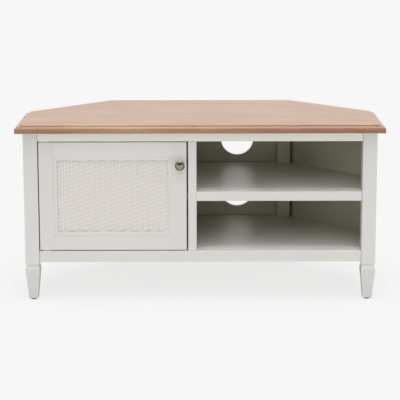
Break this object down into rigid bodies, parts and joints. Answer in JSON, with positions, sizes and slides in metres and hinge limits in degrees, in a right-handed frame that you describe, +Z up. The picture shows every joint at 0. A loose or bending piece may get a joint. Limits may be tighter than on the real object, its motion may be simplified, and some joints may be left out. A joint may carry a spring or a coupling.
{
  "type": "corner tv cabinet",
  "caption": "Painted corner television cabinet with a moulded wooden top, cut rear corners, an inset cane-panelled door and open shelf bays on square tapered legs.",
  "frame": {"origin": "on the floor under the middle of the top's bounding box", "axes": "+X to the right of someone facing the door, +Y towards the wall behind the cabinet, +Z up"},
  "size_m": [1.05, 0.5, 0.515],
  "materials": {
    "paint": "satin off-white paint on wood",
    "top_wood": "reddish brown hardwood, satin lacquer",
    "cane": "woven cane, washed off-white",
    "pewter": "antique pewter",
    "steel": "zinc plated",
    "glide": "dark moulded plastic",
    "catch": "brown moulded plastic"
  },
  "bodies": {
    "carcass": {"top_board": "top_wood", "front_left_leg": "paint", "front_right_leg": "paint", "rear_left_leg": "paint", "rear_right_leg": "paint", "front_left_glide": "glide", "front_right_glide": "glide", "rear_left_glide": "glide", "rear_right_glide": "glide", "top_front_rail": "paint", "bottom_front_rail": "paint", "centre_stile": "paint", "rear_top_rail": "paint", "rear_bottom_rail": "paint", "left_side_panel": "paint", "right_side_panel": "paint", "left_corner_panel": "paint", "right_corner_panel": "paint", "divider_panel": "paint", "back_panel": "paint", "bottom_panel": "paint", "bay_shelf": "paint", "cupboard_shelf": "paint", "shelf_pin_1": "steel", "shelf_pin_2": "steel", "shelf_pin_3": "steel", "shelf_pin_4": "steel", "left_top_cleat": "paint", "right_top_cleat": "paint", "lower_pivot_pin": "steel", "upper_pivot_pin": "steel", "magnetic_catch": "catch"},
    "door": {"door_hinge_stile": "paint", "door_latch_stile": "paint", "door_bottom_rail": "paint", "door_top_rail": "paint", "bead_bottom": "paint", "bead_right": "paint", "bead_top": "paint", "bead_left": "paint", "cane_webbing": "cane", "door_backing_panel": "paint", "door_lower_bush": "steel", "door_upper_bush": "steel", "knob": "pewter", "knob_rose": "pewter", "knob_screw": "steel", "catch_strike": "steel"}
  },
  "joints": [
    {"name": "door_swing", "type": "hinge", "parent": "carcass", "child": "door", "pos_m": [-0.4484, -0.222, 0.3], "axis": [0, 0, -1], "range_deg": [0, 110]}
  ]
}
